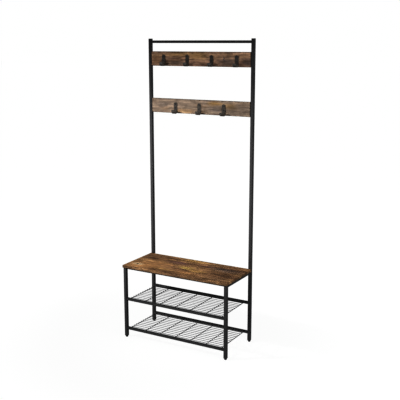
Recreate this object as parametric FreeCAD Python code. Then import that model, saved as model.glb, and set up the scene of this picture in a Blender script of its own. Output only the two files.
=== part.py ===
import FreeCAD, Part
import math
import os

# Hall tree: a shoe bench with two wire shelves, and a back frame with two hook boards.
# Millimetres. X runs to the right, Y to the back and Z up. The origin lies on the floor,
# in the middle of the overall width and of the overall depth.

# Overall
OVERALL_HEIGHT = 1830.0
FRAME_WIDTH = 720.0
FRAME_DEPTH = 330.0
SEAT_FRONT_OVERHANG = 7.0
OVERALL_DEPTH = FRAME_DEPTH + SEAT_FRONT_OVERHANG

# Square tubes: the uprights, and the thinner stock of every rail
POST_SIDE = 19.0
POST_WALL = 1.2
POST_CORNER = 2.0
RAIL_SIDE = 15.0
RAIL_WALL = 1.0
RAIL_CORNER = 1.5

# Heights of the bolted rails, at their centre lines
LOWER_SHELF_HEIGHT = 60.0
UPPER_SHELF_HEIGHT = 250.5
CROSSBAR_HEIGHT = 1811.5

# Seat
SEAT_TOP = 469.0
SEAT_THICKNESS = 15.0
SEAT_SIDE_OVERHANG = 2.0
SEAT_REAR_GAP = 1.0
SEAT_RAIL_GAP = 1.0

# Hook boards
BOARD_HEIGHT = 86.0
BOARD_THICKNESS = 15.0
BOARD_EDGE_ROUND = 0.8
UPPER_BOARD_HEIGHT = 1711.0
LOWER_BOARD_HEIGHT = 1427.5

# Coat hooks: a flat strip that is bent forward and up into a J
HOOK_WIDTH = 24.0
HOOK_THICKNESS = 2.5
HOOK_BELOW_BOARD_TOP = {"upper": 18.5, "lower": 20.5}
HOOK_HEIGHT = 68.0
HOOK_REACH = 32.0
HOOK_TIP_LENGTH = 9.5
HOOK_TIP_LEAN = 12.0
HOOK_TIP_CORNER = 4.0
HOOK_PITCH = 166.5
HOOK_EDGE_ROUND = 0.6
HOOK_SCREW_DROPS = (10.0, 34.0)

# Wire shelves
ROD_DIAMETER = 4.0
ROD_COUNT = 7
ROD_SPAN = 640.0
ROD_BELOW_RAIL_TOP = 4.0
WIRE_DIAMETER = 3.0
WIRE_COUNT = 12
WIRE_PITCH = 25.0
WIRE_TIP = 5.0
WELD_SINK = 0.3

# Feet and end caps
FOOT_PAD_HEIGHT = 9.0
FOOT_PAD_TOP_DIAMETER = 18.0
FOOT_PAD_BASE_DIAMETER = 13.0
FOOT_PAD_ROUND = 1.0
FOOT_GAP = 0.3
FOOT_STUD_LENGTH = 32.0
FOOT_STUD_EMBED = 6.0
FOOT_STUD_CHAMFER = 0.8
PLUG_FLANGE = 2.0
PLUG_DEPTH = 20.0
CAP_HEAD = 3.0
CAP_DEPTH = 12.0
CAP_CHAMFER = 1.0
CAP_WALL = 2.0

# M6 button-head bolts and their threaded end inserts
BOLT_DIAMETER = 6.0
BOLT_HEAD_DIAMETER = 10.5
BOLT_HEAD_HEIGHT = 3.3
BOLT_SOCKET_FLATS = 4.0
BOLT_SOCKET_DEPTH = 1.8
BOLT_GRIP = 13.0
BOLT_HOLE_DIAMETER = 6.6
THREAD_CLEARANCE = 0.05
INSERT_LENGTH = 16.0

# Wood screws
SCREW_DIAMETER = 3.5
SCREW_HEAD_DIAMETER = 7.0
SCREW_HEAD_HEIGHT = 1.6
SCREW_POINT = 3.0
SCREW_TIP_RADIUS = 0.2
SCREW_BITE = 10.0
PILOT_DEPTH = 11.0
SCREW_CLEARANCE = 0.1
SCREW_SLOT_WIDTH = 1.0
SCREW_SLOT_DEPTH = 0.8
SCREW_SLOT_LENGTH = 4.0

# Angle brackets that carry the hook boards
BRACKET_THICKNESS = 2.0
BRACKET_HEIGHT = 60.0
BRACKET_WIDTH = 30.0
BRACKET_SET_BACK = 3.0
BRACKET_SCREW_INSET = 18.0
BRACKET_SCREW_SPACING = 36.0

# How far a cutter runs past the face it opens, and how near counts as touching
CUT_OVERRUN = 1.0
TOLERANCE = 1e-6

# Derived places
POST_X = FRAME_WIDTH / 2 - POST_SIDE / 2
BACK_FACE_Y = OVERALL_DEPTH / 2
REAR_POST_Y = BACK_FACE_Y - POST_SIDE / 2
FRONT_LEG_Y = BACK_FACE_Y - FRAME_DEPTH + POST_SIDE / 2
CLEAR_SPAN = FRAME_WIDTH - 2 * POST_SIDE
REAR_POST_FRONT_Y = REAR_POST_Y - POST_SIDE / 2
FRONT_LEG_BACK_Y = FRONT_LEG_Y + POST_SIDE / 2
SEAT_UNDERSIDE = SEAT_TOP - SEAT_THICKNESS
SEAT_RAIL_HEIGHT = SEAT_UNDERSIDE - RAIL_SIDE / 2
SEAT_FRONT_RAIL_Y = FRONT_LEG_BACK_Y + SEAT_RAIL_GAP + RAIL_SIDE / 2
SEAT_REAR_RAIL_Y = REAR_POST_FRONT_Y - SEAT_RAIL_GAP - RAIL_SIDE / 2
SEAT_RAIL_SPAN = 2 * (POST_X - RAIL_SIDE / 2)
PLUG_FLANGE_BOTTOM = FOOT_PAD_HEIGHT + FOOT_GAP
TUBE_BOTTOM = PLUG_FLANGE_BOTTOM + PLUG_FLANGE
FOOT_STUD_BOTTOM = FOOT_PAD_HEIGHT - FOOT_STUD_EMBED
BOARD_LENGTH = CLEAR_SPAN - 2 * BRACKET_THICKNESS
BOARD_BACK_Y = REAR_POST_FRONT_Y + BOARD_THICKNESS
MESH_MIDDLE_Y = (FRONT_LEG_Y + REAR_POST_Y) / 2

SIDES = (("left", -1), ("right", 1))
SHELVES = (("lower", LOWER_SHELF_HEIGHT), ("upper", UPPER_SHELF_HEIGHT))
BOARDS = (("upper", UPPER_BOARD_HEIGHT), ("lower", LOWER_BOARD_HEIGHT))
HOOK_X = {
    "upper": [(i - 1.5) * HOOK_PITCH for i in range(4)],
    "lower": [(i - 1.0) * HOOK_PITCH for i in range(3)],
}

X_AXIS = FreeCAD.Vector(1, 0, 0)
Y_AXIS = FreeCAD.Vector(0, 1, 0)
Z_AXIS = FreeCAD.Vector(0, 0, 1)


def vec(x, y, z):
    return FreeCAD.Vector(x, y, z)


def centred_box(size, centre):
    corner = vec(*(c - s / 2 for c, s in zip(centre, size)))
    return Part.makeBox(*size, corner)


def edges_along(shape, axis):
    """The straight edges of a shape that run along one axis."""
    chosen = []
    for edge in shape.Edges:
        start, end = edge.Vertexes[0].Point, edge.Vertexes[-1].Point
        run = end - start
        if run.Length > 0 and run.normalize().cross(axis).Length < TOLERANCE:
            chosen.append(edge)
    return chosen


def level_edges(shape, z):
    """The edges of a shape that lie wholly at one height."""
    return [e for e in shape.Edges if all(abs(v.Z - z) < TOLERANCE for v in e.Vertexes)]


def square_bar(side, corner, length, axis, centre):
    """A solid square bar with rounded long edges, centred on a point."""
    size = [length if component else side for component in axis]
    bar = centred_box(size, centre)
    return bar.makeFillet(corner, edges_along(bar, axis))


def square_tube(side, wall, corner, length, axis, centre):
    """A square tube, open at both ends."""
    outside = square_bar(side, corner, length, axis, centre)
    bore_corner = max(corner - wall, wall / 2)
    inside = square_bar(side - 2 * wall, bore_corner, length + 2 * CUT_OVERRUN, axis, centre)
    return outside.cut(inside)


def hole(diameter, length, axis, centre):
    """A round cutter, centred on a point."""
    start = vec(*centre) - axis * (length / 2)
    return Part.makeCylinder(diameter / 2, length, start, axis)


def screw_hole(length, axis, centre):
    """A cutter for the plain hole that a wood screw passes through."""
    return hole(SCREW_DIAMETER + 2 * SCREW_CLEARANCE, length, axis, centre)


def cut_all(shape, cutters):
    return shape.cut(Part.makeCompound(cutters)) if cutters else shape


def group(solids):
    return Part.makeCompound(solids)


# --- Uprights -------------------------------------------------------------------------

def upright(x, y, top, bolt_heights):
    """A post or a leg: a square tube, cross-drilled for the bolts of the rails."""
    length = top - TUBE_BOTTOM
    centre = (x, y, TUBE_BOTTOM + length / 2)
    tube = square_tube(POST_SIDE, POST_WALL, POST_CORNER, length, Z_AXIS, centre)
    drilling = [hole(BOLT_HOLE_DIAMETER, 2 * POST_SIDE, X_AXIS, (x, y, z)) for z in bolt_heights]
    return cut_all(tube, drilling)


def rear_post(side):
    heights = (LOWER_SHELF_HEIGHT, UPPER_SHELF_HEIGHT, CROSSBAR_HEIGHT)
    return upright(side * POST_X, REAR_POST_Y, OVERALL_HEIGHT - CAP_HEAD, heights)


def front_leg(side):
    heights = (LOWER_SHELF_HEIGHT, UPPER_SHELF_HEIGHT)
    return upright(side * POST_X, FRONT_LEG_Y, SEAT_UNDERSIDE, heights)


def post_cap(side):
    """A plastic cap: a square head on the tube's end, and a hollow plug inside it."""
    x = side * POST_X
    tube_top = OVERALL_HEIGHT - CAP_HEAD
    head = centred_box((POST_SIDE, POST_SIDE, CAP_HEAD), (x, REAR_POST_Y, tube_top + CAP_HEAD / 2))
    head = head.makeFillet(POST_CORNER, edges_along(head, Z_AXIS))
    head = head.makeChamfer(CAP_CHAMFER, level_edges(head, OVERALL_HEIGHT))
    bore = POST_SIDE - 2 * POST_WALL
    plug_z = tube_top - CAP_DEPTH / 2
    plug = square_bar(bore, POST_CORNER - POST_WALL, CAP_DEPTH, Z_AXIS, (x, REAR_POST_Y, plug_z))
    inner = bore - 2 * CAP_WALL
    hollow = centred_box((inner, inner, CAP_DEPTH), (x, REAR_POST_Y, plug_z - CAP_WALL))
    return head.fuse(plug).cut(hollow).removeSplitter()


# --- Rails ----------------------------------------------------------------------------

def rail(span, y, z):
    """A rail across the frame, from one side to the other."""
    return square_tube(RAIL_SIDE, RAIL_WALL, RAIL_CORNER, span, X_AXIS, (0, y, z))


def seat_side_rail(side):
    """The rail from the leg to the post under one end of the seat, drilled for bolts and screws."""
    x = side * POST_X
    length = REAR_POST_FRONT_Y - FRONT_LEG_BACK_Y
    middle = (REAR_POST_FRONT_Y + FRONT_LEG_BACK_Y) / 2
    tube = square_tube(RAIL_SIDE, RAIL_WALL, RAIL_CORNER, length, Y_AXIS, (x, middle, SEAT_RAIL_HEIGHT))
    drilling = [
        hole(BOLT_HOLE_DIAMETER, 2 * RAIL_SIDE, X_AXIS, (x, y, SEAT_RAIL_HEIGHT))
        for y in (SEAT_FRONT_RAIL_Y, SEAT_REAR_RAIL_Y)
    ]
    own_screws = [place for place in seat_screw_places() if abs(place[0] - x) < RAIL_SIDE / 2]
    return cut_all(tube, drilling + seat_screw_holes(own_screws))


def seat_cross_rail(y):
    """The rail under the front or the rear edge of the seat, between the side rails."""
    tube = rail(SEAT_RAIL_SPAN, y, SEAT_RAIL_HEIGHT)
    own_screws = [
        place for place in seat_screw_places()
        if abs(place[1] - y) < RAIL_SIDE / 2 and abs(place[0]) < POST_X - RAIL_SIDE
    ]
    return cut_all(tube, seat_screw_holes(own_screws))


def end_insert(x, side, y, z):
    """A threaded plug in the end of a rail. x is the rail's end, and side is -1 or 1."""
    bore = RAIL_SIDE - 2 * RAIL_WALL
    centre = (x - side * INSERT_LENGTH / 2, y, z)
    plug = square_bar(bore, RAIL_WALL / 2, INSERT_LENGTH, X_AXIS, centre)
    thread = hole(BOLT_DIAMETER + 2 * THREAD_CLEARANCE, 2 * INSERT_LENGTH, X_AXIS, centre)
    return plug.cut(thread)


# --- Bolts and screws -----------------------------------------------------------------

def button_bolt(head_x, side, y, z, length):
    """A button-head bolt that enters the frame from its outside. head_x is the bearing face."""
    radius = BOLT_HEAD_DIAMETER / 2
    shank = Part.makeCylinder(BOLT_DIAMETER / 2, length)
    shank.translate(vec(0, 0, -length))
    dome_radius = (radius ** 2 + BOLT_HEAD_HEIGHT ** 2) / (2 * BOLT_HEAD_HEIGHT)
    dome = Part.makeSphere(dome_radius, vec(0, 0, BOLT_HEAD_HEIGHT - dome_radius))
    head = dome.common(Part.makeCylinder(radius, BOLT_HEAD_HEIGHT))
    bolt = head.fuse(shank).cut(hex_socket()).removeSplitter()
    bolt.rotate(vec(0, 0, 0), Y_AXIS, 90 * side)
    bolt.translate(vec(head_x, y, z))
    return bolt


def hex_socket():
    """A cutter for the socket in a bolt's head, above the bearing face."""
    sixth = math.pi / 3
    corner_radius = BOLT_SOCKET_FLATS / 2 / math.cos(sixth / 2)
    floor = BOLT_HEAD_HEIGHT - BOLT_SOCKET_DEPTH
    corners = [
        vec(corner_radius * math.cos(k * sixth), corner_radius * math.sin(k * sixth), floor)
        for k in range(6)
    ]
    outline = Part.makePolygon(corners, True)
    return Part.Face(outline).extrude(Z_AXIS * BOLT_HEAD_HEIGHT)


def wood_screw(place, direction, length):
    """A pan-head screw. place is the bearing face's centre, and direction points into the wood."""
    radius = SCREW_DIAMETER / 2
    shank = Part.makeCylinder(radius, length - SCREW_POINT)
    point = Part.makeCone(radius, SCREW_TIP_RADIUS, SCREW_POINT, vec(0, 0, length - SCREW_POINT))
    top = -SCREW_HEAD_HEIGHT
    head = Part.makeCylinder(SCREW_HEAD_DIAMETER / 2, SCREW_HEAD_HEIGHT, vec(0, 0, top))
    head = head.makeFillet(SCREW_HEAD_HEIGHT / 2, level_edges(head, top))
    screw = head.fuse([shank, point])
    for size in ((SCREW_SLOT_LENGTH, SCREW_SLOT_WIDTH), (SCREW_SLOT_WIDTH, SCREW_SLOT_LENGTH)):
        screw = screw.cut(centred_box((*size, 2 * SCREW_SLOT_DEPTH), (0, 0, top)))
    screw.Placement = FreeCAD.Placement(vec(*place), FreeCAD.Rotation(Z_AXIS, direction))
    return screw


def pilot_hole(place, direction):
    """The hole for a wood screw: place lies on the wood's face."""
    return Part.makeCylinder(SCREW_DIAMETER / 2 + SCREW_CLEARANCE, PILOT_DEPTH, vec(*place), direction)


# --- Seat -----------------------------------------------------------------------------

def seat_screw_places():
    """Where the seat's screws stand: two in each side rail, and two in each cross rail."""
    middle = (SEAT_FRONT_RAIL_Y + SEAT_REAR_RAIL_Y) / 2
    spread = (SEAT_REAR_RAIL_Y - SEAT_FRONT_RAIL_Y) / 4
    places = [(side * POST_X, middle + step * spread) for _, side in SIDES for step in (-1, 1)]
    for y in (SEAT_FRONT_RAIL_Y, SEAT_REAR_RAIL_Y):
        places += [(side * CLEAR_SPAN / 4, y) for _, side in SIDES]
    return places


def seat_screw_holes(places):
    return [screw_hole(2 * RAIL_SIDE, Z_AXIS, (*place, SEAT_RAIL_HEIGHT)) for place in places]


def bench_seat():
    width = FRAME_WIDTH + 2 * SEAT_SIDE_OVERHANG
    front = -OVERALL_DEPTH / 2
    back = REAR_POST_FRONT_Y - SEAT_REAR_GAP
    board = centred_box((width, back - front, SEAT_THICKNESS),
                        (0, (front + back) / 2, SEAT_TOP - SEAT_THICKNESS / 2))
    board = board.makeFillet(BOARD_EDGE_ROUND, board.Edges)
    pilots = [pilot_hole((*place, SEAT_UNDERSIDE), Z_AXIS) for place in seat_screw_places()]
    return cut_all(board, pilots)


def seat_screws():
    length = RAIL_SIDE + SCREW_BITE
    head_z = SEAT_UNDERSIDE - RAIL_SIDE
    return group([wood_screw((*place, head_z), Z_AXIS, length) for place in seat_screw_places()])


# --- Hook boards ----------------------------------------------------------------------

def hook_top(level, board_z):
    return board_z + BOARD_HEIGHT / 2 - HOOK_BELOW_BOARD_TOP[level]


def hook_screw_places(level, board_z):
    heights = [hook_top(level, board_z) - drop for drop in HOOK_SCREW_DROPS]
    return [(x, REAR_POST_FRONT_Y, z) for x in HOOK_X[level] for z in heights]


def bracket_screw_places(board_z, side):
    x = side * (CLEAR_SPAN / 2 - BRACKET_SCREW_INSET)
    return [(x, BOARD_BACK_Y, board_z + step * BRACKET_SCREW_SPACING / 2) for step in (-1, 1)]


def hook_board(level, board_z):
    board = centred_box((BOARD_LENGTH, BOARD_THICKNESS, BOARD_HEIGHT),
                        (0, REAR_POST_FRONT_Y + BOARD_THICKNESS / 2, board_z))
    board = board.makeFillet(BOARD_EDGE_ROUND, board.Edges)
    pilots = [pilot_hole(place, Y_AXIS) for place in hook_screw_places(level, board_z)]
    for _, side in SIDES:
        pilots += [pilot_hole(place, -Y_AXIS) for place in bracket_screw_places(board_z, side)]
    return cut_all(board, pilots)


def board_bracket(board_z, side):
    """An angle of sheet steel: one leaf on the post's inner face, one behind the board."""
    post_face = side * CLEAR_SPAN / 2
    front = REAR_POST_FRONT_Y + BRACKET_SET_BACK
    back = BOARD_BACK_Y + BRACKET_THICKNESS
    side_leaf = centred_box((BRACKET_THICKNESS, back - front, BRACKET_HEIGHT),
                            (post_face - side * BRACKET_THICKNESS / 2, (front + back) / 2, board_z))
    back_leaf = centred_box((BRACKET_WIDTH, BRACKET_THICKNESS, BRACKET_HEIGHT),
                            (post_face - side * BRACKET_WIDTH / 2, back - BRACKET_THICKNESS / 2, board_z))
    places = bracket_screw_places(board_z, side)
    drilling = [screw_hole(4 * BRACKET_THICKNESS, Y_AXIS, place) for place in places]
    return cut_all(side_leaf.fuse(back_leaf).removeSplitter(), drilling)


def bracket_screws():
    screws = []
    for _, board_z in BOARDS:
        for _, side in SIDES:
            for x, y, z in bracket_screw_places(board_z, side):
                place = (x, y + BRACKET_THICKNESS, z)
                screws.append(wood_screw(place, -Y_AXIS, SCREW_BITE + BRACKET_THICKNESS))
    return group(screws)


def corner_cutters(radius, lean, place):
    """Cutters that round the two corners of a strip's upper end. place is the middle of that end."""
    reach = radius + CUT_OVERRUN
    depth = 4 * HOOK_THICKNESS
    cutters = []
    for _, side in SIDES:
        x = side * (HOOK_WIDTH / 2 - radius)
        block = centred_box((reach, depth, reach), (x + side * reach / 2, 0, reach / 2 - radius))
        arc = Part.makeCylinder(radius, 2 * depth, vec(x, -depth, -radius), Y_AXIS)
        cutters.append(block.cut(arc))
    pair = Part.makeCompound(cutters)
    pair.rotate(vec(0, 0, 0), X_AXIS, lean)
    pair.translate(place)
    return pair


def coat_hook(x, top):
    """A J of flat steel strip. Its centre line is a straight back, a bend, and a leaning tip."""
    back_y = REAR_POST_FRONT_Y - HOOK_THICKNESS / 2
    bend = (HOOK_REACH - HOOK_THICKNESS) / 2
    centre_y = back_y - bend
    centre_z = top - HOOK_HEIGHT + HOOK_THICKNESS / 2 + bend
    lean = math.radians(HOOK_TIP_LEAN)

    def on_bend(angle):
        return vec(x, centre_y + bend * math.cos(angle), centre_z + bend * math.sin(angle))

    back_top = vec(x, back_y, top)
    tip_start = on_bend(math.pi + lean)
    tip_end = tip_start + vec(0, -math.sin(lean), math.cos(lean)) * HOOK_TIP_LENGTH
    path = Part.Wire([
        Part.LineSegment(back_top, on_bend(0)).toShape(),
        Part.Arc(on_bend(0), on_bend(-math.pi / 2), tip_start).toShape(),
        Part.LineSegment(tip_start, tip_end).toShape(),
    ])
    blank = centred_box((HOOK_WIDTH, HOOK_THICKNESS, HOOK_THICKNESS), back_top)
    blank = blank.makeFillet(HOOK_EDGE_ROUND, edges_along(blank, Z_AXIS))
    blank.translate(Z_AXIS * (HOOK_THICKNESS / 2))
    section = next(face for face in blank.Faces if abs(face.CenterOfMass.z - top) < TOLERANCE)
    strip = path.makePipeShell([section.OuterWire], True, False)
    strip = strip.cut(corner_cutters(HOOK_WIDTH / 2, 0, back_top))
    strip = strip.cut(corner_cutters(HOOK_TIP_CORNER, HOOK_TIP_LEAN, tip_end))
    places = [(x, back_y, top - drop) for drop in HOOK_SCREW_DROPS]
    return cut_all(strip, [screw_hole(3 * HOOK_THICKNESS, Y_AXIS, place) for place in places])


def hook_screws():
    screws = []
    for level, board_z in BOARDS:
        for x, y, z in hook_screw_places(level, board_z):
            screws.append(wood_screw((x, y - HOOK_THICKNESS, z), Y_AXIS, SCREW_BITE + HOOK_THICKNESS))
    return group(screws)


# --- Wire shelves ---------------------------------------------------------------------

def shelf_mesh(rail_z):
    """Cross rods welded between the front and rear rails, with thin wires welded on top of them."""
    rod_z = rail_z + RAIL_SIDE / 2 - ROD_BELOW_RAIL_TOP
    wire_z = rod_z + ROD_DIAMETER / 2 + WIRE_DIAMETER / 2 - WELD_SINK
    front = FRONT_LEG_Y + RAIL_SIDE / 2
    rod_length = REAR_POST_Y - RAIL_SIDE / 2 - front
    rod_pitch = ROD_SPAN / (ROD_COUNT - 1)
    rod_starts = [vec(i * rod_pitch - ROD_SPAN / 2, front, rod_z) for i in range(ROD_COUNT)]
    rods = [Part.makeCylinder(ROD_DIAMETER / 2, rod_length, start, Y_AXIS) for start in rod_starts]

    wire_length = ROD_SPAN + 2 * WIRE_TIP
    first_y = MESH_MIDDLE_Y - (WIRE_COUNT - 1) * WIRE_PITCH / 2
    wire_starts = [vec(-wire_length / 2, first_y + i * WIRE_PITCH, wire_z) for i in range(WIRE_COUNT)]
    wires = [Part.makeCylinder(WIRE_DIAMETER / 2, wire_length, start, X_AXIS) for start in wire_starts]
    return rods[0].multiFuse(rods[1:] + wires)


# --- Feet -----------------------------------------------------------------------------

def foot_plug(x, y):
    """A threaded plug in the bottom of an upright, with a flange under the tube's end."""
    flange_z = PLUG_FLANGE_BOTTOM + PLUG_FLANGE / 2
    flange = square_bar(POST_SIDE, POST_CORNER, PLUG_FLANGE, Z_AXIS, (x, y, flange_z))
    bore = POST_SIDE - 2 * POST_WALL
    body_centre = (x, y, TUBE_BOTTOM + PLUG_DEPTH / 2)
    body = square_bar(bore, POST_CORNER - POST_WALL, PLUG_DEPTH, Z_AXIS, body_centre)
    thread = hole(BOLT_DIAMETER + 2 * THREAD_CLEARANCE, 4 * PLUG_DEPTH, Z_AXIS, (x, y, TUBE_BOTTOM))
    return flange.fuse(body).cut(thread).removeSplitter()


def foot_pad(x, y):
    """A tapered plastic pad with a blind socket for its stud."""
    pad = Part.makeCone(FOOT_PAD_BASE_DIAMETER / 2, FOOT_PAD_TOP_DIAMETER / 2, FOOT_PAD_HEIGHT, vec(x, y, 0))
    rims = level_edges(pad, 0) + level_edges(pad, FOOT_PAD_HEIGHT)
    pad = pad.makeFillet(FOOT_PAD_ROUND, rims)
    socket_depth = FOOT_STUD_EMBED + CUT_OVERRUN
    socket = Part.makeCylinder(BOLT_DIAMETER / 2, socket_depth, vec(x, y, FOOT_STUD_BOTTOM))
    return pad.cut(socket)


def foot_stud(x, y):
    """The threaded stud that is moulded into a foot's pad."""
    stud = Part.makeCylinder(BOLT_DIAMETER / 2, FOOT_STUD_LENGTH, vec(x, y, FOOT_STUD_BOTTOM))
    return stud.makeChamfer(FOOT_STUD_CHAMFER, level_edges(stud, FOOT_STUD_BOTTOM + FOOT_STUD_LENGTH))


# --- The whole object -----------------------------------------------------------------

def bolted_joints():
    """Each bolted rail end: the rail's end, its side, and the bolt's bearing face, line and length."""
    through_post = POST_SIDE + BOLT_GRIP
    through_rail = RAIL_SIDE + BOLT_GRIP
    joints = {"shelf": [], "crossbar": [], "seat": []}
    for _, side in SIDES:
        rail_end = side * CLEAR_SPAN / 2
        outside = side * FRAME_WIDTH / 2
        for _, z in SHELVES:
            for y in (FRONT_LEG_Y, REAR_POST_Y):
                joints["shelf"].append((rail_end, side, outside, y, z, through_post))
        joints["crossbar"].append((rail_end, side, outside, REAR_POST_Y, CROSSBAR_HEIGHT, through_post))
        seat_end = side * SEAT_RAIL_SPAN / 2
        bearing = side * (POST_X + RAIL_SIDE / 2)
        for y in (SEAT_FRONT_RAIL_Y, SEAT_REAR_RAIL_Y):
            joints["seat"].append((seat_end, side, bearing, y, SEAT_RAIL_HEIGHT, through_rail))
    return joints


def frame_nodes():
    """The posts, the legs, the feet and the rails."""
    nodes = {"top_crossbar": rail(CLEAR_SPAN, REAR_POST_Y, CROSSBAR_HEIGHT)}
    plugs = []
    for name, side in SIDES:
        x = side * POST_X
        nodes[f"rear_post_{name}"] = rear_post(side)
        nodes[f"front_leg_{name}"] = front_leg(side)
        nodes[f"post_cap_{name}"] = post_cap(side)
        nodes[f"seat_rail_{name}"] = seat_side_rail(side)
        for end, y in (("front", FRONT_LEG_Y), ("rear", REAR_POST_Y)):
            nodes[f"foot_pad_{end}_{name}"] = foot_pad(x, y)
            nodes[f"foot_stud_{end}_{name}"] = foot_stud(x, y)
            plugs.append(foot_plug(x, y))
    nodes["foot_plugs"] = group(plugs)
    nodes["seat_rail_front"] = seat_cross_rail(SEAT_FRONT_RAIL_Y)
    nodes["seat_rail_rear"] = seat_cross_rail(SEAT_REAR_RAIL_Y)
    for level, z in SHELVES:
        nodes[f"shelf_rail_{level}_front"] = rail(CLEAR_SPAN, FRONT_LEG_Y, z)
        nodes[f"shelf_rail_{level}_rear"] = rail(CLEAR_SPAN, REAR_POST_Y, z)
        nodes[f"shelf_mesh_{level}"] = shelf_mesh(z)
    return nodes


def board_nodes():
    """The seat, the hook boards with their brackets, and the hooks."""
    nodes = {"bench_seat": bench_seat(), "seat_screws": seat_screws()}
    for level, z in BOARDS:
        nodes[f"hook_board_{level}"] = hook_board(level, z)
        for name, side in SIDES:
            nodes[f"board_bracket_{level}_{name}"] = board_bracket(z, side)
        for number, x in enumerate(HOOK_X[level], start=1):
            nodes[f"coat_hook_{level}_{number}"] = coat_hook(x, hook_top(level, z))
    nodes["hook_screws"] = hook_screws()
    nodes["bracket_screws"] = bracket_screws()
    return nodes


def bolt_nodes():
    """The bolts of each family of rails, and the inserts they screw into."""
    nodes = {}
    for family, joints in bolted_joints().items():
        nodes[f"{family}_bolts"] = group([
            button_bolt(bearing, side, y, z, length) for _, side, bearing, y, z, length in joints])
        nodes[f"{family}_end_inserts"] = group([
            end_insert(rail_end, side, y, z) for rail_end, side, _, y, z, _ in joints])
    return nodes


def write_nodes():
    os.makedirs("parts", exist_ok=True)
    nodes = {**frame_nodes(), **board_nodes(), **bolt_nodes()}
    for name, shape in nodes.items():
        if not shape.isValid():
            raise ValueError(f"{name} is not a valid shape")
        shape.exportStep(f"parts/{name}.step")
        print(name, len(shape.Solids), round(sum(solid.Volume for solid in shape.Solids)))


write_nodes()
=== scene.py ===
import math

import bmesh
import bpy
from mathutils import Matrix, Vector, noise


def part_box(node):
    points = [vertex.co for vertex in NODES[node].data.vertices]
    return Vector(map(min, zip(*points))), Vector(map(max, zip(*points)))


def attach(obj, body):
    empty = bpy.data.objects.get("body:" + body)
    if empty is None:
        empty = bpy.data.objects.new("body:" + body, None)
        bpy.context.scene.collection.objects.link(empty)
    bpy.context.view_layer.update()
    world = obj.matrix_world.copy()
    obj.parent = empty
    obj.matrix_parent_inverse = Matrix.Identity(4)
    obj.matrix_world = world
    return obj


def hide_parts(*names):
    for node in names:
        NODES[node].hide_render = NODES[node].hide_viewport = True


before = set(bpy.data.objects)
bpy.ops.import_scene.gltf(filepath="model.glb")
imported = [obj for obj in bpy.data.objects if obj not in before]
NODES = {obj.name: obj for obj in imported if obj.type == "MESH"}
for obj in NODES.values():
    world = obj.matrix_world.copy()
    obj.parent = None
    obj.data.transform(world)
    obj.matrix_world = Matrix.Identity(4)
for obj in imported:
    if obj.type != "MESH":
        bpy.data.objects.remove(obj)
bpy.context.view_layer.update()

# The camera stands in front of the object and to its right, at about its height
CAMERA_PLACE = (2.2425, -3.7274, 1.8085)
CAMERA_TILT = math.radians(78.015)
CAMERA_TURN = math.radians(29.992)
CAMERA_LENS = 66.885
CAMERA_SENSOR = 36.0

# Sockets of the Mix node's colour mode, which share their names with its other modes
MIX_COLOUR_A = 6
MIX_COLOUR_B = 7
MIX_COLOUR_OUT = 2

# An edge shows where the bevelled normal leans away from the true one
BEVEL_SAMPLES = 4
EDGE_FLAT = 0.985
EDGE_SHARP = 0.86


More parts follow.
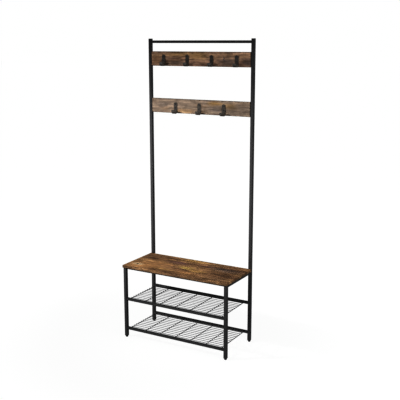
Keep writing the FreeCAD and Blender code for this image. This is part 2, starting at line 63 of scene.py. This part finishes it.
class Shader:
    """A material's node tree, with a short call for each kind of node used here."""

    def __init__(self, name):
        self.material = bpy.data.materials.new(name)
        self.material.use_nodes = True
        self.tree = self.material.node_tree
        self.surface = self.tree.nodes["Principled BSDF"]
        self.place = self.tree.nodes.new("ShaderNodeTexCoord").outputs["Object"]
        self.geometry = self.tree.nodes.new("ShaderNodeNewGeometry")

    def plug(self, socket, value):
        if isinstance(value, bpy.types.NodeSocket):
            self.tree.links.new(value, socket)
        elif isinstance(value, tuple) and len(value) == 3 and socket.type == "RGBA":
            socket.default_value = (*value, 1.0)
        else:
            socket.default_value = value

    def stretch(self, scale, offset=(0.0, 0.0, 0.0), vector=None):
        node = self.tree.nodes.new("ShaderNodeMapping")
        self.plug(node.inputs["Vector"], vector or self.place)
        node.inputs["Location"].default_value = offset
        node.inputs["Scale"].default_value = scale
        return node.outputs["Vector"]

    def even(self, scale):
        """The object's coordinates, scaled alike on every axis."""
        return self.stretch((scale, scale, scale))

    def noise(self, vector, detail=2.0, roughness=0.5, distortion=0.0, colour=False):
        node = self.tree.nodes.new("ShaderNodeTexNoise")
        self.plug(node.inputs["Vector"], vector)
        node.inputs["Scale"].default_value = 1.0
        node.inputs["Detail"].default_value = detail
        node.inputs["Roughness"].default_value = roughness
        node.inputs["Distortion"].default_value = distortion
        return node.outputs["Color" if colour else "Fac"]

    def cells(self, vector):
        node = self.tree.nodes.new("ShaderNodeTexVoronoi")
        self.plug(node.inputs["Vector"], vector)
        node.inputs["Scale"].default_value = 1.0
        return node.outputs["Distance"]

    def ramp(self, factor, stops):
        node = self.tree.nodes.new("ShaderNodeValToRGB")
        self.plug(node.inputs["Fac"], factor)
        elements = node.color_ramp.elements
        for index, (position, colour) in enumerate(stops):
            element = elements[index] if index < 2 else elements.new(position)
            element.position = position
            element.color = (*colour, 1.0)
        return node.outputs["Color"]

    def rescale(self, value, low, high, new_low=0.0, new_high=1.0, smooth=False):
        node = self.tree.nodes.new("ShaderNodeMapRange")
        node.interpolation_type = "SMOOTHSTEP" if smooth else "LINEAR"
        for socket, number in zip(node.inputs[:5], (value, low, high, new_low, new_high)):
            self.plug(socket, number)
        return node.outputs["Result"]

    def maths(self, operation, a, b=0.0):
        node = self.tree.nodes.new("ShaderNodeMath")
        node.operation = operation
        self.plug(node.inputs[0], a)
        self.plug(node.inputs[1], b)
        return node.outputs["Value"]

    def vector_maths(self, operation, a, b=(0.0, 0.0, 0.0), out="Vector"):
        node = self.tree.nodes.new("ShaderNodeVectorMath")
        node.operation = operation
        self.plug(node.inputs[0], a)
        self.plug(node.inputs[1], b)
        return node.outputs[out]

    def scaled(self, vector, factor):
        node = self.tree.nodes.new("ShaderNodeVectorMath")
        node.operation = "SCALE"
        self.plug(node.inputs[0], vector)
        self.plug(node.inputs["Scale"], factor)
        return node.outputs["Vector"]

    def split(self, vector):
        node = self.tree.nodes.new("ShaderNodeSeparateXYZ")
        self.plug(node.inputs[0], vector)
        return node.outputs

    def mix(self, factor, a, b):
        node = self.tree.nodes.new("ShaderNodeMix")
        node.data_type = "RGBA"
        self.plug(node.inputs["Factor"], factor)
        self.plug(node.inputs[MIX_COLOUR_A], a)
        self.plug(node.inputs[MIX_COLOUR_B], b)
        return node.outputs[MIX_COLOUR_OUT]

    def bump(self, height, distance, strength=1.0):
        node = self.tree.nodes.new("ShaderNodeBump")
        node.inputs["Strength"].default_value = strength
        node.inputs["Distance"].default_value = distance
        self.plug(node.inputs["Height"], height)
        return node.outputs["Normal"]

    def edges(self, radius):
        """1 on the edges within a radius, and 0 on flat ground."""
        bevel = self.tree.nodes.new("ShaderNodeBevel")
        bevel.samples = BEVEL_SAMPLES
        bevel.inputs["Radius"].default_value = radius
        normal = self.geometry.outputs["Normal"]
        facing = self.vector_maths("DOT_PRODUCT", bevel.outputs["Normal"], normal, "Value")
        return self.rescale(facing, EDGE_FLAT, EDGE_SHARP, smooth=True)

    def finish(self, colour, roughness, normal, specular=0.5, metallic=0.0):
        self.plug(self.surface.inputs["Base Color"], colour)
        self.plug(self.surface.inputs["Roughness"], roughness)
        self.plug(self.surface.inputs["Normal"], normal)
        self.surface.inputs["Specular IOR Level"].default_value = specular
        self.surface.inputs["Metallic"].default_value = metallic
        return self.material


# --- Metal and plastic ----------------------------------------------------------------

# Colours are linear RGB, and noise scales are per metre
COAT_DARK = (0.024, 0.024, 0.025)
COAT_LIGHT = (0.036, 0.036, 0.037)
COAT_WORN_AND_HIGHLIT = (0.052, 0.051, 0.050)
COAT_CLOUD = 9.0
COAT_SCUFF = 45.0
COAT_EDGE = 0.0015
COAT_RELIEF = 0.00006
COAT_ROUGHNESS = 0.32
COAT_SPECULAR = 0.38
POWDER_GRAIN = 1300.0
WIRE_GRAIN = 1600.0
HOOK_DARK = (0.046, 0.039, 0.033)
HOOK_LIGHT = (0.066, 0.057, 0.049)
HOOK_GRAIN = 1900.0
FASTENER_DARK = (0.010, 0.010, 0.011)
FASTENER_GRAIN = 2400.0
FASTENER_ROUGHNESS = 0.38
FASTENER_SPECULAR = 0.5

ZINC_BRIGHT = (0.52, 0.53, 0.55)
ZINC_GREY = (0.36, 0.37, 0.39)
ZINC_DULL = (0.25, 0.25, 0.24)
ZINC_CRYSTAL = 420.0
ZINC_STAIN = 120.0
ZINC_RELIEF = 0.00003

PLASTIC_DARK = (0.006, 0.006, 0.007)
PLASTIC_LIGHT = (0.013, 0.013, 0.014)
PLASTIC_WORN = (0.035, 0.035, 0.034)
PLASTIC_SKIN = 1500.0
PLASTIC_CLOUD = 45.0
PLASTIC_EDGE = 0.0008
PLASTIC_RELIEF = 0.00004
PLASTIC_SPECULAR = 0.35


def coated_metal(name, dark, light, grain, roughness=COAT_ROUGHNESS, specular=COAT_SPECULAR):
    """Paint or powder coat on steel: a fine pebbled skin, cloudy tone, and paler edges, partly rubbed
    wear and partly a painted edge highlight.
    """
    s = Shader(name)
    cloud = s.noise(s.even(COAT_CLOUD), detail=3.0)
    pebble = s.noise(s.even(grain), detail=2.0, roughness=0.6)
    tone = s.maths("ADD", s.maths("MULTIPLY", cloud, 0.7), s.maths("MULTIPLY", pebble, 0.3))
    colour = s.mix(s.rescale(tone, 0.35, 0.65), dark, light)
    # Paler patches along the edges: partly rubbed wear, partly a painted edge highlight
    scuff = s.rescale(s.noise(s.even(COAT_SCUFF), detail=4.0, roughness=0.7), 0.54, 0.78)
    rubbed = s.maths("MULTIPLY", s.edges(COAT_EDGE), scuff)
    colour = s.mix(rubbed, colour, COAT_WORN_AND_HIGHLIT)
    rough = s.rescale(tone, 0.3, 0.7, roughness - 0.07, roughness + 0.08)
    height = s.maths("ADD", pebble, s.maths("MULTIPLY", s.cells(s.even(grain)), 0.5))
    return s.finish(colour, rough, s.bump(height, COAT_RELIEF, 0.5), specular)


def zinc_plate():
    """Bright zinc: a faint crystal pattern, and duller patches."""
    s = Shader("zinc_plated_steel")
    crystal = s.cells(s.even(ZINC_CRYSTAL))
    dull = s.noise(s.even(ZINC_STAIN), detail=4.0)
    colour = s.mix(s.rescale(crystal, 0.1, 0.8), ZINC_BRIGHT, ZINC_GREY)
    colour = s.mix(s.rescale(dull, 0.5, 0.75, 0.0, 0.5), colour, ZINC_DULL)
    rough = s.rescale(dull, 0.3, 0.7, 0.28, 0.46)
    return s.finish(colour, rough, s.bump(crystal, ZINC_RELIEF, 0.4), metallic=1.0)


def moulded_plastic():
    """Black moulded plastic: a fine spark-eroded skin, greyer on its edges."""
    s = Shader("moulded_black_plastic")
    skin = s.noise(s.even(PLASTIC_SKIN), detail=2.0)
    cloud = s.noise(s.even(PLASTIC_CLOUD), detail=3.0)
    colour = s.mix(s.rescale(cloud, 0.35, 0.65), PLASTIC_DARK, PLASTIC_LIGHT)
    rubbed = s.maths("MULTIPLY", s.edges(PLASTIC_EDGE), s.rescale(cloud, 0.4, 0.7))
    colour = s.mix(rubbed, colour, PLASTIC_WORN)
    rough = s.rescale(cloud, 0.3, 0.7, 0.42, 0.58)
    return s.finish(colour, rough, s.bump(skin, PLASTIC_RELIEF, 0.5), specular=PLASTIC_SPECULAR)


# --- Wood -----------------------------------------------------------------------------

BROWN_TONES = ((0.064, 0.038, 0.023), (0.124, 0.075, 0.042), (0.200, 0.128, 0.068))
# The upper board's tones: the seat's laminate painted paler, as painted light for the dim light on
# that board, with a faint painted sheen
PAINTED_LIGHT_TAN_TONES = ((0.198, 0.124, 0.085), (0.347, 0.228, 0.157), (0.506, 0.344, 0.216))
# The lower board's tones: the seat's laminate painted paler and greyer, as a painted sheen and painted
# light
SHEEN_GREY_TONES = ((0.145, 0.112, 0.087), (0.215, 0.168, 0.131), (0.285, 0.222, 0.168))
GOLD = (0.290, 0.188, 0.078)
AMBER = (0.235, 0.138, 0.066)
OCHRE = (0.245, 0.185, 0.068)
PLUM = (0.075, 0.043, 0.040)
UMBER = (0.064, 0.042, 0.033)
SLATE = (0.060, 0.052, 0.050)
STAIN = (0.036, 0.040, 0.050)
ASH = (0.115, 0.095, 0.084)
OUTLINE_DARK = (0.030, 0.021, 0.016)
KNOT_RIM = (0.46, 0.37, 0.25)
KNOT_RING = (0.045, 0.026, 0.016)
KNOT_EYE = (0.022, 0.014, 0.010)
KNOT_RING_RATE = 19.0
KNOT_LENGTHENING = 0.55
# How far the darker band along a board face's outline reaches
OUTLINE_WIDTH = 0.0035

# Noise scales along the grain and across it, from the broadest feature to the finest
BROAD_SCALE = (3.2, 17.0, 17.0)
RUST_SCALE = (6.0, 34.0, 34.0)
BLOTCH_SCALE = (15.0, 40.0, 40.0)
STREAK_SCALE = (7.0, 95.0, 95.0)
FIBRE_SCALE = (8.0, 330.0, 330.0)
PORE_SCALE = (28.0, 900.0, 900.0)
SAW_SCALE = (110.0, 6.0, 6.0)
WOBBLE_SCALE = 35.0

# How far noise pushes the coordinates about, in metres, and that noise's scale
FLOW = ((0.0, 0.02, 0.02), (3.0, 9.0, 9.0))
TORN = ((0.09, 0.035, 0.035), (9.0, 26.0, 26.0))
KNOT_FLOW = ((0.02, 0.014, 0.014), (40.0, 60.0, 60.0))

STREAK_SHARE = 1.25
FIBRE_SHARE = 0.6
SAW_SHARE = 0.3
WOOD_CONTRAST = 0.42
WOOD_ROUGHNESS = 0.5
WOOD_SPECULAR = 0.3
WOOD_RELIEF = 0.00025
GREY_CONTRAST = 0.30
GREY_ROUGHNESS = 0.45
NO_TINT = (0.5, 0.5, 0.5)


def soft_spot(s, vector, centre, radii):
    """1 at a spot's middle and 0 outside it. Radii are along X, Y and Z."""
    inverse = tuple(1.0 / r for r in radii)
    away = s.vector_maths("SUBTRACT", vector, centre)
    reach = s.vector_maths("MULTIPLY", away, inverse)
    length = s.vector_maths("LENGTH", reach, out="Value")
    return s.rescale(length, 1.0, 0.1, smooth=True)


def wandering(s, amount, scale):
    """The object's coordinates, pushed about by noise so that spots have torn outlines."""
    push = s.noise(s.stretch(scale), detail=4.0, roughness=0.6, colour=True)
    push = s.vector_maths("SUBTRACT", push, NO_TINT)
    push = s.vector_maths("MULTIPLY", push, amount)
    return s.vector_maths("ADD", s.place, push)


def knot(s, colour, centre, radius, pale):
    """A knot: rings round a dark eye, in a pale halo, drawn out along the grain."""
    vector = wandering(s, *KNOT_FLOW)
    away = s.vector_maths("SUBTRACT", vector, centre)
    reach = s.vector_maths("MULTIPLY", away, (KNOT_LENGTHENING / radius, 1.0 / radius, 1.0 / radius))
    length = s.vector_maths("LENGTH", reach, out="Value")
    rings = s.maths("SINE", s.maths("MULTIPLY", length, KNOT_RING_RATE))
    halo = s.rescale(length, 1.0, 0.35, smooth=True)
    colour = s.mix(s.maths("MULTIPLY", halo, 0.55), colour, pale)
    dark_rings = s.maths("MULTIPLY", s.rescale(rings, -0.2, 0.9), s.maths("MULTIPLY", halo, 0.45))
    colour = s.mix(dark_rings, colour, KNOT_RING)
    return s.mix(s.rescale(length, 0.28, 0.12, smooth=True), colour, KNOT_EYE)


def darkened_outline(s, colour, low, high):
    """Darkens the outline of a board's face, from the board's lowest and highest corners."""
    # A darker band along the outline of the board's face
    wobble = s.noise(s.even(WOBBLE_SCALE), detail=4.0, roughness=0.65)
    middle = (low + high) / 2
    away = s.vector_maths("ABSOLUTE", s.vector_maths("SUBTRACT", s.place, tuple(middle)))
    along, _, up = s.split(away)
    for distance, half in ((along, high.x - middle.x), (up, high.z - middle.z)):
        inset = s.maths("SUBTRACT", half, distance)
        reach = s.rescale(wobble, 0.3, 0.7, 0.4 * OUTLINE_WIDTH, 1.5 * OUTLINE_WIDTH)
        near = s.rescale(s.maths("DIVIDE", inset, reach), 1.0, 0.3, smooth=True)
        colour = s.mix(s.maths("MULTIPLY", near, 0.75), colour, OUTLINE_DARK)
    return colour


def rustic_wood(name, seed, tones, spots, knots=(), outlined=None,
                contrast=WOOD_CONTRAST, roughness=WOOD_ROUGHNESS):
    """Rustic veneer with its grain along X. tones are dark, middle and light; a spot is
    (centre, radii, colour, amount); a knot is (centre, radius, halo's colour); outlined is the
    box of a board whose face has a darker outline; contrast is how much the streaks and blotches
    darken."""
    s = Shader(name)
    dark, middle, light = tones
    shift = (seed, 2.0 * seed, 3.0 * seed)
    turned_shift = (2.0 * seed, 3.0 * seed, seed)
    flow = wandering(s, *FLOW)
    broad = s.noise(s.stretch(BROAD_SCALE, shift, flow), detail=5.0, roughness=0.62)
    colour = s.ramp(broad, ((0.33, dark), (0.68, light), (0.50, middle)))
    torn = wandering(s, *TORN)
    for place, radii, tint, amount in spots:
        spot = s.maths("MULTIPLY", soft_spot(s, torn, place, radii), amount)
        colour = s.mix(spot, colour, tint)
    for place, radius, pale in knots:
        colour = knot(s, colour, place, radius, pale)

    blotched = s.stretch(BLOTCH_SCALE, shift, flow)
    blotch = s.noise(blotched, detail=7.0, roughness=0.72, distortion=0.5)
    rust = s.noise(s.stretch(RUST_SCALE, turned_shift, flow), detail=5.0, roughness=0.7)
    colour = s.mix(s.rescale(rust, 0.52, 0.70, 0.0, 0.4), colour, AMBER)
    streak = s.noise(s.stretch(STREAK_SCALE, shift, flow), detail=6.0, roughness=0.68)
    fibre = s.noise(s.stretch(FIBRE_SCALE, shift, flow), detail=3.0, roughness=0.7)
    pores = s.rescale(s.noise(s.stretch(PORE_SCALE, shift), detail=2.0), 0.62, 0.75)
    saw_marks = s.noise(s.stretch(SAW_SCALE, shift), detail=3.0, roughness=0.6)
    saw = s.mix(s.rescale(rust, 0.45, 0.60), NO_TINT, saw_marks)
    shade = s.rescale(blotch, 0.36, 0.64, 1.0 - contrast, 1.0 + 0.8 * contrast)
    for part, share in ((streak, STREAK_SHARE), (fibre, FIBRE_SHARE), (saw, SAW_SHARE)):
        swing = share * contrast
        shade = s.maths("MULTIPLY", shade, s.rescale(part, 0.33, 0.67, 1.0 - swing, 1.0 + swing))
    shade = s.maths("MULTIPLY", shade, s.rescale(pores, 0.0, 1.0, 1.0, 0.78))
    colour = s.scaled(colour, shade)
    if outlined:
        colour = darkened_outline(s, colour, *outlined)

    rough = s.rescale(streak, 0.3, 0.7, roughness + 0.08, roughness - 0.06)
    height = s.maths("ADD", s.maths("MULTIPLY", fibre, 0.5), s.maths("MULTIPLY", streak, 0.8))
    height = s.maths("SUBTRACT", height, s.maths("MULTIPLY", pores, 0.5))
    height = s.maths("ADD", height, s.maths("MULTIPLY", saw, 0.3))
    return s.finish(colour, rough, s.bump(height, WOOD_RELIEF, 0.45), WOOD_SPECULAR)


def seat_wood():
    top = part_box("bench_seat")[1].z
    spots = (
        ((-0.02, 0.120, top), (0.13, 0.035, 0.1), GOLD, 0.8),
        ((0.01, -0.025, top), (0.08, 0.035, 0.1), OCHRE, 0.8),
        ((0.10, -0.050, top), (0.09, 0.04, 0.1), GOLD, 0.65),
        ((0.06, -0.115, top), (0.10, 0.04, 0.1), AMBER, 0.7),
        ((-0.10, -0.110, top), (0.10, 0.03, 0.1), GOLD, 0.4),
        ((-0.27, -0.09, top), (0.20, 0.09, 0.1), AMBER, 0.7),
        ((-0.20, -0.01, top), (0.16, 0.06, 0.1), AMBER, 0.4),
        ((-0.09, 0.045, top), (0.12, 0.04, 0.1), PLUM, 0.75),
        ((0.10, 0.060, top), (0.10, 0.03, 0.1), PLUM, 0.4),
        ((0.24, 0.040, top), (0.16, 0.05, 0.1), SLATE, 0.65),
        ((0.25, -0.125, top), (0.12, 0.04, 0.1), UMBER, 0.6),
        ((-0.31, 0.085, top), (0.10, 0.07, 0.1), UMBER, 0.5),
    )
    knots = (((-0.300, -0.095, top), 0.030, KNOT_RIM),)
    return rustic_wood("rustic_wood_seat", 1.7, BROWN_TONES, spots, knots)


def upper_board_wood():
    low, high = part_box("hook_board_upper")
    z = (low.z + high.z) / 2
    face = low.y
    spots = (
        ((-0.14, face, z + 0.028), (0.17, 0.1, 0.028), GOLD, 0.6),
        ((-0.01, face, z + 0.020), (0.10, 0.1, 0.045), GOLD, 0.7),
        ((-0.30, face, z), (0.07, 0.1, 0.05), AMBER, 0.55),
        ((-0.17, face, z - 0.030), (0.16, 0.1, 0.03), SLATE, 0.75),
        ((-0.25, face, z - 0.020), (0.05, 0.1, 0.03), SLATE, 0.6),
        ((0.19, face, z - 0.015), (0.10, 0.1, 0.045), SLATE, 0.7),
        ((0.32, face, z - 0.02), (0.07, 0.1, 0.045), SLATE, 0.65),
        ((0.08, face, z - 0.03), (0.06, 0.1, 0.03), UMBER, 0.5),
        ((0.168, face, z + 0.002), (0.007, 0.1, 0.026), STAIN, 0.8),
    )
    # Its tan tones are the seat's laminate painted paler, as painted light and a faint painted sheen
    return rustic_wood("rustic_wood_upper", 5.3, PAINTED_LIGHT_TAN_TONES, spots, outlined=(low, high))


def lower_board_wood():
    low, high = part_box("hook_board_lower")
    z = (low.z + high.z) / 2
    face = low.y
    spots = (
        ((0.11, face, z + 0.025), (0.07, 0.1, 0.022), GOLD, 0.75),
        ((0.21, face, z + 0.012), (0.08, 0.1, 0.03), GOLD, 0.45),
        ((-0.11, face, z - 0.030), (0.10, 0.1, 0.022), GOLD, 0.4),
        ((-0.25, face, z + 0.005), (0.06, 0.1, 0.025), ASH, 0.5),
        ((0.10, face, z - 0.015), (0.07, 0.1, 0.02), ASH, 0.6),
    )
    # Its grey tones are the seat's laminate with a painted sheen and painted light
    return rustic_wood("rustic_wood_lower", 9.1, SHEEN_GREY_TONES, spots, outlined=(low, high),
                       contrast=GREY_CONTRAST, roughness=GREY_ROUGHNESS)


# --- Finishes on the CAD nodes --------------------------------------------------------

def make_finishes():
    return {
        "powder_coat": coated_metal("black_powder_coat", COAT_DARK, COAT_LIGHT, POWDER_GRAIN),
        "wire_coat": coated_metal("black_wire_coat", COAT_DARK, COAT_LIGHT, WIRE_GRAIN),
        "hook_paint": coated_metal("black_hook_paint", HOOK_DARK, HOOK_LIGHT, HOOK_GRAIN),
        "black_fastener": coated_metal("black_fastener_finish", FASTENER_DARK, COAT_DARK,
                                       FASTENER_GRAIN, FASTENER_ROUGHNESS, FASTENER_SPECULAR),
        "zinc_steel": zinc_plate(),
        "black_plastic": moulded_plastic(),
        "seat_wood": seat_wood(),
        "upper_board_wood": upper_board_wood(),
        "lower_board_wood": lower_board_wood(),
    }


def finish_nodes():
    for node in NODES.values():
        for slot in node.material_slots:
            slot.material = FINISHES[slot.material.name]


# --- Welds and threads ----------------------------------------------------------------

ROD_COUNT = 7
ROD_SPAN = 0.640
ROD_BELOW_RAIL_TOP = 0.004
WIRE_COUNT = 12
WIRE_PITCH = 0.025
WIRE_DIAMETER = 0.003
BEAD_UNEVENNESS = 0.25
BEAD_VARIETY = 1000.0
ROD_BEAD = Vector((0.0033, 0.0017, 0.0029))
CROSSING_BEAD = Vector((0.0027, 0.0023, 0.0011))
SEAM_BEAD = Vector((0.0015, 0.0013, 0.0015))
SEAM_STEP = 0.0017
SEAM_CORNER = 0.0015
THREAD_PITCH = 0.001
THREAD_DEPTH = 0.0004
THREAD_SIDES = 24
THREAD_STEPS = 6
THREAD_LEAD = 0.0012


def add_piece(name, shape, slot, body):
    mesh = bpy.data.meshes.new(name)
    shape.to_mesh(mesh)
    shape.free()
    for face in mesh.polygons:
        face.use_smooth = True
    mesh.materials.append(FINISHES[slot])
    piece = bpy.data.objects.new(name, mesh)
    bpy.context.scene.collection.objects.link(piece)
    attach(piece, body)
    return piece


def add_bead(shape, place, radii):
    """A blob of weld metal with an uneven skin."""
    for vertex in bmesh.ops.create_icosphere(shape, subdivisions=2, radius=1.0)["verts"]:
        swell = 1.0 + BEAD_UNEVENNESS * noise.noise(vertex.co + BEAD_VARIETY * place)
        vertex.co = place + swell * vertex.co * radii


def shelf_welds(level):
    """Where each rod meets the two rails, and where the wires cross the rods."""
    front_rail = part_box(f"shelf_rail_{level}_front")
    rear_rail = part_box(f"shelf_rail_{level}_rear")
    mesh_low, mesh_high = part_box(f"shelf_mesh_{level}")
    rod_z = front_rail[1].z - ROD_BELOW_RAIL_TOP
    crossing_z = mesh_high.z - WIRE_DIAMETER
    first_wire = (mesh_low.y + mesh_high.y) / 2 - (WIRE_COUNT - 1) * WIRE_PITCH / 2
    shape = bmesh.new()
    for i in range(ROD_COUNT):
        x = ROD_SPAN * (i / (ROD_COUNT - 1) - 0.5)
        for y in (front_rail[1].y, rear_rail[0].y):
            add_bead(shape, Vector((x, y, rod_z)), ROD_BEAD)
        for k in range(WIRE_COUNT):
            add_bead(shape, Vector((x, first_wire + k * WIRE_PITCH, crossing_z)), CROSSING_BEAD)
    add_piece(f"shelf_welds_{level}", shape, "wire_coat", "frame")


def seam_welds(side):
    """Fillet welds round both ends of a seat side rail, where it meets the leg and the post."""
    low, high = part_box(f"seat_rail_{side}")
    inner = Vector((low.x + SEAM_CORNER, 0.0, low.z + SEAM_CORNER))
    outer = Vector((high.x - SEAM_CORNER, 0.0, high.z - SEAM_CORNER))
    steps = round((outer.x - inner.x) / SEAM_STEP)
    shape = bmesh.new()
    for y in (low.y, high.y):
        for k in range(steps + 1):
            across = inner.x + (outer.x - inner.x) * k / steps
            up = inner.z + (outer.z - inner.z) * k / steps
            for x, z in ((low.x, up), (high.x, up), (across, low.z)):
                add_bead(shape, Vector((x, y, z)), SEAM_BEAD)
    add_piece(f"seam_welds_{side}", shape, "powder_coat", "frame")


def threaded_stud(corner):
    """A foot's stud with its thread: a ridge that climbs round a core, and a tapered lead."""
    node = f"foot_stud_{corner}"
    low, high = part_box(node)
    middle = (low + high) / 2
    radius = (high.x - low.x) / 2
    height = high.z - low.z
    rings = round(height / THREAD_PITCH) * THREAD_STEPS
    shape = bmesh.new()
    rows = []
    for k in range(rings + 1):
        rise = height * k / rings
        row = []
        for j in range(THREAD_SIDES):
            turn = j / THREAD_SIDES
            phase = (rise / THREAD_PITCH - turn) % 1.0
            r = radius - THREAD_DEPTH * abs(2.0 * phase - 1.0)
            r = min(r, radius - THREAD_LEAD + height - rise)
            angle = 2.0 * math.pi * turn
            place = (middle.x + r * math.cos(angle), middle.y + r * math.sin(angle), low.z + rise)
            row.append(shape.verts.new(place))
        rows.append(row)
    for below, above in zip(rows, rows[1:]):
        for j in range(THREAD_SIDES):
            after = (j + 1) % THREAD_SIDES
            shape.faces.new((below[j], below[after], above[after], above[j]))
    shape.faces.new(list(reversed(rows[0])))
    shape.faces.new(rows[-1])
    stud = add_piece(f"threaded_stud_{corner}", shape, "zinc_steel", f"foot_{corner}")
    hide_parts(node)


def welds_and_threads():
    for level in ("lower", "upper"):
        shelf_welds(level)
    for side in ("left", "right"):
        seam_welds(side)
        for end in ("front", "rear"):
            threaded_stud(f"{end}_{side}")


# --- Studio ---------------------------------------------------------------------------

WHITE = (1.0, 1.0, 1.0, 1.0)
DOWN = (0.0, 0.0, -1.0)
TO_FRONT_LEFT = (-0.5, -0.87, 0.0)
WORLD_DIM = 0.10
WORLD_GLOW = 1.6
WORLD_ON_MATT = 0.3

FLOOR_RADIUS = 60.0
FLOOR_SIDES = 96
FLOOR_CLOUD = 0.8
FLOOR_DARK = (0.025, 0.025, 0.025)
FLOOR_PALE = (0.030, 0.030, 0.030)
FLOOR_ROUGHNESS = 0.9
FLOOR_RELIEF = 0.0001
# Painted shade: the floor's glow near the object is set lower than far away
FLOOR_GLOW_UNDER_PAINTED_SHADE = 0.955
FLOOR_GLOW_FAR = 1.0
FLOOR_SHADE_INNER = 0.4
FLOOR_SHADE_OUTER = 1.6

DISPLAY_GAMMA = 0.65


def studio_world():
    """White behind the object; what lights it is dim above and paler below, towards the front left."""
    world = bpy.data.worlds.new("studio")
    bpy.context.scene.world = world
    world.use_nodes = True
    tree = world.node_tree
    backdrop = tree.nodes["Background"]
    backdrop.inputs["Color"].default_value = WHITE
    backdrop.inputs["Strength"].default_value = 1.0
    fill = tree.nodes.new("ShaderNodeBackground")
    direction = tree.nodes.new("ShaderNodeTexCoord").outputs["Generated"]

    def across(axis, low, high, new_low, new_high):
        dot = tree.nodes.new("ShaderNodeVectorMath")
        dot.operation = "DOT_PRODUCT"
        dot.inputs[1].default_value = axis
        tree.links.new(direction, dot.inputs[0])
        part = tree.nodes.new("ShaderNodeMapRange")
        part.interpolation_type = "SMOOTHSTEP"
        tree.links.new(dot.outputs["Value"], part.inputs["Value"])
        for socket, number in zip(part.inputs[1:5], (low, high, new_low, new_high)):
            socket.default_value = number
        return part.outputs["Result"]

    below = across(DOWN, 0.0, 0.3, 0.0, WORLD_GLOW)
    steep = across(DOWN, 0.38, 0.55, 1.0, 0.4)
    leftward = across(TO_FRONT_LEFT, -0.4, 0.8, 0.15, 1.0)
    glow = tree.nodes.new("ShaderNodeMath")
    glow.operation = "MULTIPLY_ADD"
    shaped = tree.nodes.new("ShaderNodeMath")
    shaped.operation = "MULTIPLY"
    tree.links.new(below, shaped.inputs[0])
    tree.links.new(steep, shaped.inputs[1])
    tree.links.new(shaped.outputs["Value"], glow.inputs[0])
    tree.links.new(leftward, glow.inputs[1])
    glow.inputs[2].default_value = WORLD_DIM
    path = tree.nodes.new("ShaderNodeLightPath")
    softened = tree.nodes.new("ShaderNodeMapRange")
    softened.inputs["To Min"].default_value = 1.0
    softened.inputs["To Max"].default_value = WORLD_ON_MATT
    tree.links.new(path.outputs["Is Diffuse Ray"], softened.inputs["Value"])
    strength = tree.nodes.new("ShaderNodeMath")
    strength.operation = "MULTIPLY"
    tree.links.new(glow.outputs["Value"], strength.inputs[0])
    tree.links.new(softened.outputs["Result"], strength.inputs[1])
    tree.links.new(strength.outputs["Value"], fill.inputs["Strength"])
    choose = tree.nodes.new("ShaderNodeMixShader")
    tree.links.new(path.outputs["Is Camera Ray"], choose.inputs["Fac"])
    tree.links.new(fill.outputs["Background"], choose.inputs[1])
    tree.links.new(backdrop.outputs["Background"], choose.inputs[2])
    tree.links.new(choose.outputs["Shader"], tree.nodes["World Output"].inputs["Surface"])


def softbox(name, place, target, width, height, power, spread=180, diffuse=True, gloss=True):
    data = bpy.data.lights.new(name, "AREA")
    data.shape = "RECTANGLE"
    data.size = width
    data.size_y = height
    data.energy = power
    data.spread = math.radians(spread)
    box = bpy.data.objects.new(name, data)
    box.location = place
    box.visible_diffuse = diffuse
    box.visible_glossy = gloss
    box.rotation_euler = (Vector(target) - Vector(place)).to_track_quat("-Z", "Y").to_euler()
    bpy.context.scene.collection.objects.link(box)


def lights():
    """A small near key light from the front left, and wide soft fills all round."""
    softbox("key", place=(-1.27, -1.30, 1.87), target=(0.0, 0.0, 0.78),
            width=0.2, height=0.2, power=17.5, spread=60, gloss=False)
    softbox("low_fill", place=(-1.7, -2.9, 0.52), target=(0.0, 0.1, 0.52),
            width=2.6, height=1.3, power=24.0, diffuse=False)
    softbox("overhead", place=(0.0, -0.4, 4.2), target=(0.0, 0.0, 0.5),
            width=2.0, height=2.0, power=55.0)
    softbox("right_fill", place=(3.4, -0.6, 1.6), target=(0.0, 0.0, 0.8),
            width=2.0, height=2.0, power=150.0, gloss=False)
    softbox("back_fill", place=(1.2, 4.2, 2.2), target=(0.0, 0.0, 1.0),
            width=2.5, height=2.5, power=60.0, gloss=False)


def floor_material():
    """Plain white that glows as bright as the backdrop, and slightly less near the object: a painted
    shade round it.
    """
    s = Shader("studio_floor_white")
    cloud = s.noise(s.even(FLOOR_CLOUD), detail=2.0)
    colour = s.mix(cloud, FLOOR_DARK, FLOOR_PALE)
    s.surface.inputs["Emission Color"].default_value = WHITE
    # Painted shade: the glow dims towards the middle of the floor, where the object stands
    reach = s.vector_maths("LENGTH", s.place, out="Value")
    glow = s.rescale(reach, FLOOR_SHADE_INNER, FLOOR_SHADE_OUTER, FLOOR_GLOW_UNDER_PAINTED_SHADE, FLOOR_GLOW_FAR,
                     smooth=True)
    s.plug(s.surface.inputs["Emission Strength"], glow)
    return s.finish(colour, FLOOR_ROUGHNESS, s.bump(cloud, FLOOR_RELIEF), specular=0.0)


def floor_disc():
    mesh = bpy.data.meshes.new("studio_floor")
    shape = bmesh.new()
    bmesh.ops.create_circle(shape, cap_ends=True, segments=FLOOR_SIDES, radius=FLOOR_RADIUS)
    shape.to_mesh(mesh)
    shape.free()
    mesh.materials.append(floor_material())
    disc = bpy.data.objects.new("studio_floor", mesh)
    bpy.context.scene.collection.objects.link(disc)
    disc.visible_diffuse = False
    disc.visible_glossy = False


def camera():
    data = bpy.data.cameras.new("camera")
    data.lens = CAMERA_LENS
    data.sensor_width = CAMERA_SENSOR
    stand = bpy.data.objects.new("camera", data)
    stand.location = CAMERA_PLACE
    stand.rotation_euler = (CAMERA_TILT, 0.0, CAMERA_TURN)
    bpy.context.scene.collection.objects.link(stand)
    bpy.context.scene.camera = stand


FINISHES = make_finishes()
finish_nodes()
welds_and_threads()
camera()
studio_world()
lights()
floor_disc()
bpy.context.scene.view_settings.view_transform = "Standard"
bpy.context.scene.view_settings.gamma = DISPLAY_GAMMA
